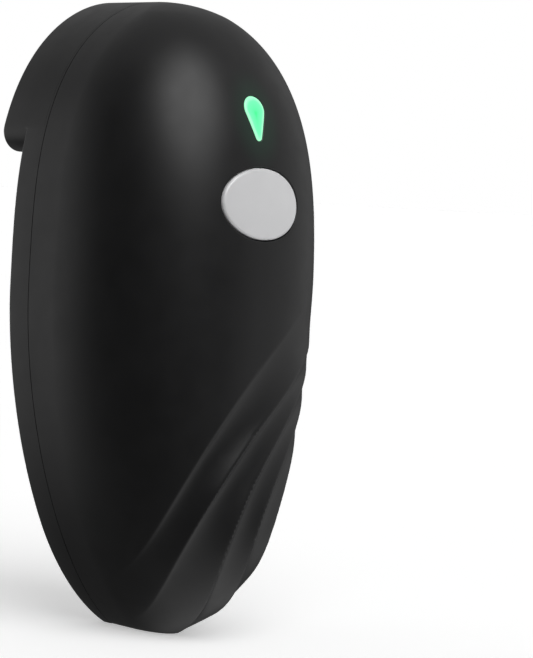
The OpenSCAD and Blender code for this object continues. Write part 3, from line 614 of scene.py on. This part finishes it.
def rear_casing():
    """The rear shell: body and lip, hollow inside, with posts, pocket, seats, holes and socket slot."""
    shell = rear_body()
    combine(shell, [rear_lip()], "UNION")
    combine(shell, [rear_hollow(), lip_hollow()], "DIFFERENCE")

    rooted = DECK_IN_Y + ROOT
    posts = [bar(p, CASE_POST_R, SEAM_Y, rooted) for p in CASE_POSTS]
    posts += [bar(p, EAR_BOSS_R, TRAY_Y + TRAY_WALL, rooted) for p in TRAY_EARS]
    posts.append(bar(PIVOT_XZ, PIVOT_BOSS_R, SEAM_Y, rooted))
    posts.append(bar(MAGNET_XZ, MAGNET_R + MAGNET_WALL, DECK_Y - MAGNET_T - MAGNET_WALL, rooted))
    combine(shell, posts, "UNION")

    pocket = rectangle(*POCKET_X, LIP_Z - 1, POCKET_TOP)
    seat_x = PLATE_X + SEAT_GAP
    seat = rectangle(-seat_x, seat_x, WEAR_LOW - SEAT_GAP, LIP_Z - SEAT_GAP)
    past = DECK_Y + 1
    cuts = [
        slab("tool", pocket, DECK_Y, LIP_Y - POCKET_BACK),
        bar((0, LIP_Z), WINDOW_R, DECK_Y, LIP_Y + 1, 120),
        slab("tool", seat, DECK_Y - WEAR_T, past),
        bar(DRIVE_XZ, BUSH_R + PRESS, DECK_IN_Y - 1, past),
        bar(PIVOT_XZ, PIVOT_R + PRESS, SEAM_Y - 1, past),
        bar(MAGNET_XZ, MAGNET_R + MAGNET_FIT, DECK_Y - MAGNET_T, past),
    ]
    cuts += [bar(p, SCREW_CLEAR_R, DECK_IN_Y - 1, DECK_Y) for p in WEAR_SCREWS]
    cuts += [bar(p, SCREW_CLEAR_R, SEAM_Y - 1, DECK_Y) for p in CASE_POSTS]
    cuts += [bar(p, SCREW_SINK_R, DECK_Y - SCREW_SUNK - SCREW_HEAD_T, past) for p in CASE_POSTS]
    cuts += [bar(p, EAR_HOLE_R, TRAY_Y, TRAY_Y + EAR_HOLE_DEEP) for p in TRAY_EARS]
    cuts.append(socket_tool())
    combine(shell, cuts, "DIFFERENCE")
    shade(shell)
    return shell


def socket_tool():
    """The charging socket's slot through the right wall, with round ends."""
    r = SOCKET[0] / 2
    turn = np.linspace(0, math.pi, 24)
    end = np.stack([r * np.cos(turn), SOCKET[1] / 2 - r + r * np.sin(turn)], 1)
    y, z = np.concatenate([end, -end]).T
    ends = (BODY_W / 2 - SOCKET_DEEP, BODY_W / 2 + 5)
    return loft("tool", [np.stack([np.full_like(y, x), SOCKET_Y + y, SOCKET_Z + z], 1) for x in ends])


# ---------------------------------------------------------------- button and lamp
def button_cap():
    """The button: a face that follows the dome, a rounded edge, a wall down to the flange, and the stem."""
    outline, normal = oval(OVAL_COUNT, BUTTON_W, BUTTON_H)
    middle = np.array([0, BUTTON_Z])
    face = outline - BUTTON_EDGE_R * normal
    rings = []
    for u in np.linspace(0, 1, 25)[1:]:
        p = middle + u * (face - middle)
        rings.append(np.stack([p[:, 0], skin_y(p[:, 0], p[:, 1]) - BUTTON_PROUD, p[:, 1]], 1))
    for t in np.linspace(0, math.pi / 2, 9)[1:]:
        rings.append(over_skin(outline, normal, -BUTTON_EDGE_R * (1 - math.sin(t)),
                               BUTTON_PROUD - BUTTON_EDGE_R * (1 - math.cos(t))))

    flange = outline + FLANGE_W * normal
    a = np.arctan2(normal[:, 1], normal[:, 0])
    stem = middle + STEM_R * np.stack([np.cos(a), np.sin(a)], 1)
    rings += [ring_at(outline, FLANGE_Y), ring_at(flange, FLANGE_Y), ring_at(flange, FLANGE_Y + FLANGE_T),
              ring_at(stem, FLANGE_Y + FLANGE_T), ring_at(stem, STEM_END_Y)]
    piece = loft("button_face", rings, start="pole")
    shade(piece, 40)
    return piece


def lamp_lens():
    """The lens: a face that follows the dome, a rounded edge and a wall down to the lamp chip. Its points
    carry how near the edge they are."""
    outline, normal = drop(DROP_COUNT)
    middle = np.array([0, LAMP_Z - 1.2])
    face = outline - LAMP_EDGE_R * normal
    rings, edge = [], []
    for u in np.linspace(0, 1, 17)[1:]:
        p = middle + u * (face - middle)
        rings.append(np.stack([p[:, 0], skin_y(p[:, 0], p[:, 1]) - LAMP_PROUD, p[:, 1]], 1))
        edge.append(u * 0.9)
    for t in np.linspace(0, math.pi / 2, 7)[1:]:
        rings.append(over_skin(outline, normal, -LAMP_EDGE_R * (1 - math.sin(t)),
                               LAMP_PROUD - LAMP_EDGE_R * (1 - math.cos(t))))
        edge.append(1.0)
    rings.append(ring_at(outline, BOARD_FRONT - LENS_END))
    edge.append(1.0)
    piece = loft("lamp_glass", rings, start="pole")
    values = np.concatenate([np.repeat(edge, len(outline)), [0.0]]).astype(np.float32)
    piece.data.attributes.new("edge", "FLOAT", "POINT").data.foreach_set("value", values)
    shade(piece, 50)
    return piece


def spring_coil():
    """The arm's torsion spring: a round wire carried along a helix about the pivot, with a straight leg at
    each end that leaves the coil along Z."""
    wire_r, coil_r, turns, leg = 0.4, 5.2, 2.5, 7
    start_y = ARM_Y + ARM_T + 2 * wire_r
    a = 2 * math.pi * turns * np.linspace(0, 1, 161)
    pitch = 2 * wire_r * 1.15
    path = np.stack([PIVOT_XZ[0] + coil_r * np.cos(a), start_y + pitch * a / (2 * math.pi),
                     PIVOT_XZ[1] + coil_r * np.sin(a)], 1)
    path = np.concatenate([[path[0] - (0, 0, leg / 2)], path, [path[-1] + (0, 0, leg / 2)]])
    along = np.gradient(path, axis=0)
    along /= np.linalg.norm(along, axis=1)[:, None]
    side = np.cross(along, (0, 1, 0))
    side /= np.linalg.norm(side, axis=1)[:, None]
    up = np.cross(side, along)
    turn = np.linspace(0, 2 * math.pi, 17)[:-1, None]
    rings = path[:, None] + wire_r * (np.cos(turn) * side[:, None] + np.sin(turn) * up[:, None])
    piece = loft("coil_spring", rings)
    shade(piece, 60)
    return piece


# ---------------------------------------------------------------- finishes
def new_finish(name, roughness, metallic=0.0):
    """A material with its shader, ready for nodes."""
    material = bpy.data.materials.new(name)
    material.use_nodes = True
    shader = material.node_tree.nodes["Principled BSDF"]
    shader.inputs["Roughness"].default_value = roughness
    shader.inputs["Metallic"].default_value = metallic
    return material, shader


def add_node(material, kind, settings=None, **sockets):
    """A node with its settings and with each named socket's value or link."""
    node = material.node_tree.nodes.new(kind)
    for key, value in (settings or {}).items():
        setattr(node, key, value)
    for key, value in sockets.items():
        socket = node.inputs[key.replace("_", " ")]
        if isinstance(value, bpy.types.NodeSocket):
            material.node_tree.links.new(value, socket)
        else:
            socket.default_value = value
    return node


def place(material, stretch=(1, 1, 1)):
    """Object coordinates, stretched where a grain runs one way."""
    where = add_node(material, "ShaderNodeTexCoord").outputs["Object"]
    if stretch == (1, 1, 1):
        return where
    return add_node(material, "ShaderNodeMapping", Vector=where, Scale=stretch).outputs["Vector"]


def grain(material, scale, detail=3.0, roughness=0.5, stretch=(1, 1, 1)):
    """Noise in object space, in cycles a metre."""
    noise = add_node(material, "ShaderNodeTexNoise", Vector=place(material, stretch), Scale=scale,
                     Detail=detail, Roughness=roughness)
    return noise.outputs["Fac"]


def between(material, factor, low, high):
    """A value that goes from low to high as the factor goes over its middle range."""
    node = add_node(material, "ShaderNodeMapRange", Value=factor)
    for key, value in (("From Min", 0.3), ("From Max", 0.7), ("To Min", low), ("To Max", high)):
        node.inputs[key].default_value = value
    return node.outputs["Result"]


def shades(material, factor, low, high):
    """A colour that goes from low to high with the factor."""
    node = add_node(material, "ShaderNodeValToRGB", Fac=factor)
    ramp = node.color_ramp
    ramp.elements[0].position, ramp.elements[1].position = 0.3, 0.7
    ramp.elements[0].color, ramp.elements[1].color = (*low, 1), (*high, 1)
    return node.outputs["Color"]


def link(material, output, socket):
    """Joins an output to a socket."""
    material.node_tree.links.new(output, socket)


def relief(material, shader, height, depth, strength=1.0):
    """Fine surface relief of that depth in metres."""
    node = add_node(material, "ShaderNodeBump", Height=height, Distance=depth, Strength=strength)
    link(material, node.outputs["Normal"], shader.inputs["Normal"])


def plastic(name, low, high, roughness, spread=0.05, texture=2600, depth=6e-6):
    """Moulded plastic: slight cloudiness, a finely etched mould surface and an uneven sheen."""
    material, shader = new_finish(name, roughness)
    link(material, shades(material, grain(material, 90, 4), low, high), shader.inputs["Base Color"])
    link(material, between(material, grain(material, 160, 5, 0.6), roughness - spread, roughness + spread),
         shader.inputs["Roughness"])
    relief(material, shader, grain(material, texture, 3), depth)
    return material, shader


def brushed(name, low, high, roughness, stretch, scale=900, depth=2e-6):
    """Metal with a grain that runs along one axis, darker in its scratches."""
    material, shader = new_finish(name, roughness, 1.0)
    lines = grain(material, scale, 6, 0.65, stretch)
    link(material, shades(material, lines, low, high), shader.inputs["Base Color"])
    link(material, between(material, lines, roughness + 0.07, roughness - 0.07), shader.inputs["Roughness"])
    relief(material, shader, lines, depth)
    return material, shader


def lamp_glow(material, reach):
    """Mask of the lamp's light painted on the casing: falls from 1 at the lamp to 0 at a distance of reach,
    in metres, with level ends. Distances along the body and in depth count for less, so it is long and
    upright as the lamp is."""
    where = add_node(material, "ShaderNodeTexCoord").outputs["Object"]
    middle_z = LAMP_Z - 2.5
    core_r = 0.002
    away = add_node(material, "ShaderNodeVectorMath", {"operation": "SUBTRACT"})
    link(material, where, away.inputs[0])
    away.inputs[1].default_value = (0, float(skin_y(0.0, middle_z)) * MM, middle_z * MM)
    flat = add_node(material, "ShaderNodeVectorMath", {"operation": "MULTIPLY"})
    link(material, away.outputs["Vector"], flat.inputs[0])
    flat.inputs[1].default_value = (1, 0.6, 0.62)
    length = add_node(material, "ShaderNodeVectorMath", {"operation": "LENGTH"})
    link(material, flat.outputs["Vector"], length.inputs[0])
    fall = add_node(material, "ShaderNodeMapRange", {"interpolation_type": "SMOOTHERSTEP"})
    link(material, length.outputs["Value"], fall.inputs["Value"])
    for key, value in (("From Min", core_r), ("From Max", reach), ("To Min", 1.0), ("To Max", 0.0)):
        fall.inputs[key].default_value = value
    return fall.outputs["Result"]


def casing_finish():
    """Satin black plastic, with the lamp's green light painted on the surface round it as a glow in its
    emission.
    """
    low, high = (0.0070, 0.0070, 0.0074), (0.0095, 0.0095, 0.0100)
    material, shader = plastic("casing_black", low, high, 0.40, 0.03)
    # Painted light: the lamp's green glow is painted into the casing's emission colour round the lamp
    glow = lamp_glow(material, 0.011)
    painted_lamp_glow = shades(material, glow, (0.0, 0.0, 0.0), (0.002, 0.016, 0.008))
    ramp = painted_lamp_glow.node.color_ramp
    ramp.elements[0].position, ramp.elements[1].position = 0, 1
    link(material, painted_lamp_glow, shader.inputs["Emission Color"])
    shader.inputs["Emission Strength"].default_value = 1.0
    return material


def button_finish():
    """Satin silver paint over plastic: a fine texture and a soft even sheen."""
    low, high = (0.86, 0.86, 0.87), (0.90, 0.90, 0.91)
    material, shader = plastic("button_silver", low, high, 0.42, 0.04, 5200, 3e-6)
    shader.inputs["Metallic"].default_value = 0.12
    shader.inputs["Coat Weight"].default_value = 0.15
    shader.inputs["Coat Roughness"].default_value = 0.25
    return material


def lamp_finish():
    """Milky green lens lit from behind: deepest over the lamp chip, palest along its edge."""
    material, shader = new_finish("lamp_green", 0.22)
    shader.inputs["Base Color"].default_value = (0.05, 0.35, 0.16, 1)
    rim = add_node(material, "ShaderNodeAttribute", {"attribute_name": "edge"}).outputs["Fac"]
    cloud = grain(material, 420, 3)
    mixed = add_node(material, "ShaderNodeMath", {"operation": "MULTIPLY_ADD"})
    link(material, cloud, mixed.inputs[0])
    mixed.inputs[1].default_value = 0.16
    link(material, rim, mixed.inputs[2])
    node = add_node(material, "ShaderNodeValToRGB", Fac=mixed.outputs["Value"])
    ramp = node.color_ramp
    ramp.elements[0].position, ramp.elements[0].color = 0.08, (0.030, 0.80, 0.21, 1)
    ramp.elements[1].position, ramp.elements[1].color = 1.0, (0.42, 1.0, 0.62, 1)
    for position, color in ((0.30, (0.10, 0.90, 0.34, 1)), (0.80, (0.17, 0.95, 0.42, 1))):
        ramp.elements.new(position).color = color
    link(material, node.outputs["Color"], shader.inputs["Emission Color"])
    shader.inputs["Emission Strength"].default_value = 0.95
    return material


def windings_finish():
    """Enamelled copper wire wound side by side: close bands along the armature."""
    material, shader = new_finish("windings_copper", 0.32, 0.9)
    wires = add_node(material, "ShaderNodeTexWave", {"bands_direction": "X", "wave_profile": "SIN"},
                     Vector=place(material), Scale=420, Distortion=0.6, Detail=1)
    link(material, shades(material, wires.outputs["Fac"], (0.30, 0.09, 0.03), (0.78, 0.33, 0.14)),
         shader.inputs["Base Color"])
    relief(material, shader, wires.outputs["Fac"], 5e-5)
    return material


def cell_finish():
    """The cell's blue shrink sleeve: fine wrinkles and a gloss."""
    low, high = (0.020, 0.085, 0.33), (0.030, 0.12, 0.42)
    material, shader = plastic("cell_sleeve", low, high, 0.28, 0.05, 900, 1e-5)
    shader.inputs["Coat Weight"].default_value = 0.3
    return material


def board_finish():
    """Solder mask with the copper tracks just seen under it."""
    low, high = (0.008, 0.10, 0.035), (0.012, 0.15, 0.05)
    material, shader = plastic("board_green", low, high, 0.3, 0.05, 3000, 3e-6)
    tracks = add_node(material, "ShaderNodeTexBrick", Vector=place(material), Scale=260).outputs["Fac"]
    relief(material, shader, tracks, 2e-5, 0.6)
    return material


def steel_finish():
    """Ground steel, its grain across the body."""
    return brushed("steel_brushed", (0.50, 0.50, 0.51), (0.68, 0.68, 0.69), 0.30, (0.04, 1, 1))[0]


def wheel_finish():
    """Hardened steel, its grain along the axle."""
    return brushed("wheel_steel", (0.56, 0.56, 0.57), (0.74, 0.74, 0.74), 0.22, (1, 0.08, 1), 1200)[0]


def screw_finish():
    """Zinc-plated screws."""
    return brushed("screw_zinc", (0.40, 0.40, 0.42), (0.58, 0.58, 0.60), 0.34, (1, 0.3, 1), 1500)[0]


def magnet_finish():
    """Nickel plating, nearly even."""
    return brushed("magnet_nickel", (0.55, 0.55, 0.56), (0.68, 0.67, 0.66), 0.18, (1, 1, 1), 300, 1e-6)[0]


def brass_finish():
    """Brass with a fine grain from front to back."""
    return brushed("brass_turned", (0.52, 0.36, 0.13), (0.76, 0.57, 0.26), 0.28, (1, 0.15, 1), 1100)[0]


def dark_finish():
    """Dark moulded plastic."""
    return plastic("plastic_dark", (0.022, 0.022, 0.024), (0.034, 0.034, 0.037), 0.48)[0]


def white_finish():
    """Pale gear plastic."""
    return plastic("plastic_white", (0.66, 0.66, 0.61), (0.76, 0.76, 0.71), 0.38, 0.06, 1800)[0]


FINISHES = {
    "casing": casing_finish, "button": button_finish, "lamp": lamp_finish, "dark_plastic": dark_finish,
    "white_plastic": white_finish, "steel": steel_finish, "wheel_steel": wheel_finish,
    "screw_steel": screw_finish, "magnet": magnet_finish, "brass": brass_finish,
    "windings": windings_finish, "cell": cell_finish, "board": board_finish,
}


def finish_everything(new_pieces):
    """Gives each model node the finish of its slot in the record, and each new piece the finish of the slot
    listed with it.
    """
    made = {slot: make() for slot, make in FINISHES.items()}
    for part in frame["record"]["subparts"]:
        node = frame["nodes"][part["node"]]
        node.data.materials.clear()
        node.data.materials.append(made[part["material_slot"]])
    for piece, slot in new_pieces:
        piece.data.materials.clear()
        piece.data.materials.append(made[slot])


# ---------------------------------------------------------------- floor, lights and camera
VIEW_TURN = math.radians(40)
VIEW_PITCH = math.radians(3)
VIEW_ROLL = math.radians(-3)
VIEW_FAR = 0.8
VIEW_LENS = 148.03
AIM_RIGHT = math.radians(2.655)
AIM_DOWN = math.radians(0.229)
MIDDLE = Vector((0, SEAM_Y, 90.6)) * MM


def set_camera():
    """Stands in front of the object and to its left, looks a little down and aims a little to its right."""
    level = math.cos(VIEW_PITCH)
    ahead = Vector((math.sin(VIEW_TURN) * level, math.cos(VIEW_TURN) * level, -math.sin(VIEW_PITCH)))
    right = Vector((math.cos(VIEW_TURN), -math.sin(VIEW_TURN), 0))
    up = right.cross(ahead)
    rolled_right = right * math.cos(VIEW_ROLL) - up * math.sin(VIEW_ROLL)
    rolled_up = right * math.sin(VIEW_ROLL) + up * math.cos(VIEW_ROLL)
    straight = Matrix((rolled_right, rolled_up, -ahead)).transposed()
    seen_at = Vector((-math.tan(AIM_RIGHT), math.tan(AIM_DOWN), -1))
    turn = straight @ seen_at.rotation_difference(Vector((0, 0, -1))).to_matrix()

    data = bpy.data.cameras.new("camera")
    data.lens = VIEW_LENS
    data.sensor_width = 36
    data.clip_start, data.clip_end = 0.01, 20
    camera = bpy.data.objects.new("camera", data)
    camera.matrix_world = Matrix.Translation(MIDDLE - ahead * VIEW_FAR) @ turn.to_4x4()
    bpy.context.scene.collection.objects.link(camera)
    bpy.context.scene.camera = camera


def set_floor():
    """A plain pale floor that takes a soft shadow, and doesn't show in the casing's gloss."""
    size = 30.0
    corners = [(x * size, y * size, 0) for x, y in ((-1, -1), (1, -1), (1, 1), (-1, 1))]
    mesh = bpy.data.meshes.new("floor")
    mesh.from_pydata(corners, [], [(0, 1, 2, 3)])
    floor = bpy.data.objects.new("floor", mesh)
    bpy.context.scene.collection.objects.link(floor)
    material, shader = new_finish("floor_white", 1.0)
    shader.inputs["Specular IOR Level"].default_value = 0
    link(material, shades(material, grain(material, 3), (0.86, 0.86, 0.86), (0.88, 0.88, 0.88)),
         shader.inputs["Base Color"])
    shader.inputs["Emission Color"].default_value = (1, 1, 1, 1)
    shader.inputs["Emission Strength"].default_value = 0.42
    mesh.materials.append(material)
    floor.visible_glossy = False
    floor.visible_diffuse = False
    floor.visible_shadow = False


# The studio's soft panels: each one's direction (to the right, to the back, up), the cosines of the angle
# from it where the light starts and where it is full, and its brightness. In turn they stand at the back
# left, at the right, high at the back, high in front as the key, below and behind
PANELS = (
    ((-0.66, 0.75, -0.02), 0.80, 0.98, 0.60),
    ((0.92, -0.38, 0.10), 0.55, 0.97, 0.42),
    ((0.25, 0.50, 0.83), 0.35, 0.92, 0.28),
    ((-0.20, -0.65, 0.73), 0.83, 0.97, 3.1),
    ((0.22, -0.30, -0.93), 0.50, 0.97, 0.80),
    ((0.15, 0.98, -0.05), 0.86, 0.99, 0.80),
)
PANEL_REST = 0.05


def set_lights():
    """White surroundings for the camera. All other rays see a dim studio with soft panels, each a smooth
    step of the angle from its middle."""
    world = bpy.data.worlds.new("surroundings")
    world.use_nodes = True
    nodes, links = world.node_tree.nodes, world.node_tree.links
    direction = nodes.new("ShaderNodeTexCoord").outputs["Generated"]
    total = None
    for toward, start, full, bright in PANELS:
        cosine = nodes.new("ShaderNodeVectorMath")
        cosine.operation = "DOT_PRODUCT"
        links.new(direction, cosine.inputs[0])
        cosine.inputs[1].default_value = Vector(toward).normalized()
        step = nodes.new("ShaderNodeMapRange")
        step.interpolation_type = "SMOOTHSTEP"
        links.new(cosine.outputs["Value"], step.inputs["Value"])
        for key, value in (("From Min", start), ("From Max", full), ("To Min", 0), ("To Max", bright)):
            step.inputs[key].default_value = value
        added = nodes.new("ShaderNodeMath")
        links.new(step.outputs["Result"], added.inputs[0])
        if total is None:
            added.inputs[1].default_value = PANEL_REST
        else:
            links.new(total, added.inputs[1])
        total = added.outputs["Value"]
    studio = nodes["Background"]
    links.new(total, studio.inputs["Color"])
    white = nodes.new("ShaderNodeBackground")
    white.inputs["Color"].default_value = (1, 1, 1, 1)
    pick = nodes.new("ShaderNodeMixShader")
    links.new(nodes.new("ShaderNodeLightPath").outputs["Is Camera Ray"], pick.inputs["Fac"])
    links.new(studio.outputs["Background"], pick.inputs[1])
    links.new(white.outputs["Background"], pick.inputs[2])
    links.new(pick.outputs["Shader"], nodes["World Output"].inputs["Surface"])
    bpy.context.scene.world = world

    view = bpy.context.scene.view_settings
    view.view_transform = "Standard"
    view.look = "None"


# ---------------------------------------------------------------- the object
set_camera()
set_floor()
set_lights()

front = front_casing()
rear = rear_casing()
button = button_cap()
lens = lamp_lens()
spring = spring_coil()

PIECES = (
    (front, "casing", "housing", "front_shell"),
    (rear, "casing", "housing", "rear_shell"),
    (button, "button", "button", "button_cap"),
    (lens, "lamp", "housing", "led_lens"),
    (spring, "screw_steel", "housing", "arm_spring"),
)
finish_everything([row[:2] for row in PIECES])
for piece, slot, body, node in PIECES:
    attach(piece, body)
    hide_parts(node)
